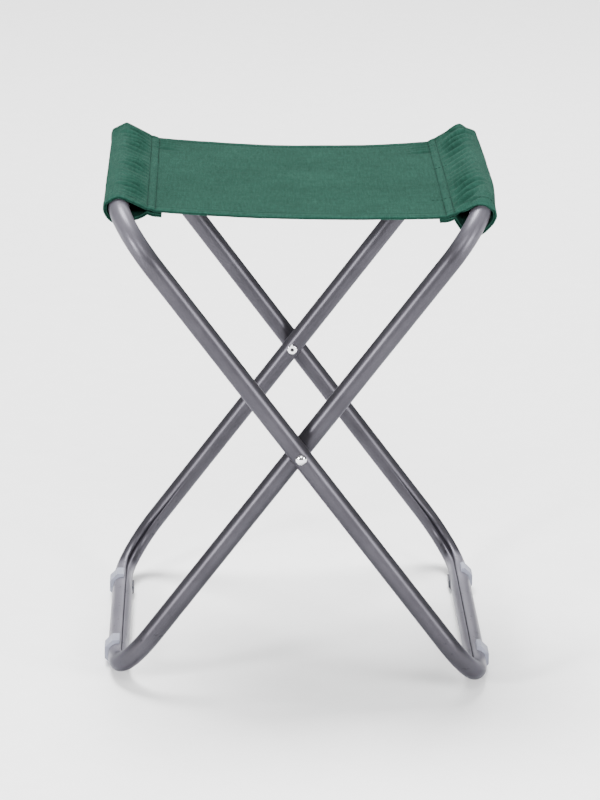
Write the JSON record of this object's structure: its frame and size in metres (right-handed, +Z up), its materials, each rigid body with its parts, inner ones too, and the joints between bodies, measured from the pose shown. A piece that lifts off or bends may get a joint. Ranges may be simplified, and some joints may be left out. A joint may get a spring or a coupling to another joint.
{
  "type": "folding camp stool",
  "caption": "Folding camp stool: crossed bent-tube frames that turn on rivets, with a green cloth seat slung between their top bars and clip-on plastic feet.",
  "frame": {"origin": "on the floor, under the pivot axis, midway between the front and rear legs", "axes": "+Z up; +X to the right, across the stool, from the outer frame's seat bar towards the inner frame's; -Y towards the front. The pivot axis runs along Y"},
  "size_m": [0.311, 0.3334, 0.401],
  "materials": {
    "frame_paint": "satin metallic grey powder coat",
    "joiner_steel": "bare drawn steel, out of sight",
    "rivet_steel": "bright plated",
    "washer_plastic": "matt black",
    "foot_plastic": "pale blue-grey moulded, slightly waxy",
    "seat_cloth": "green plain-weave polyester canvas"
  },
  "bodies": {
    "outer_frame": {"outer_frame_tube": "frame_paint", "outer_frame_joiner": "joiner_steel", "front_pivot_rivet": "rivet_steel", "rear_pivot_rivet": "rivet_steel", "front_spacer_washer": "washer_plastic", "rear_spacer_washer": "washer_plastic", "outer_front_foot": "foot_plastic", "outer_rear_foot": "foot_plastic", "outer_seat_sleeve": "seat_cloth", "seat_panel": "seat_cloth"},
    "inner_frame": {"inner_frame_tube": "frame_paint", "inner_frame_joiner": "joiner_steel", "inner_front_foot": "foot_plastic", "inner_rear_foot": "foot_plastic", "inner_seat_sleeve": "seat_cloth"}
  },
  "joints": [
    {"name": "fold", "type": "hinge", "parent": "outer_frame", "child": "inner_frame", "pos_m": [0, 0, 0.20353], "axis": [0, -1, 0], "range_deg": [0, 67], "deforming": ["seat_panel"]}
  ]
}
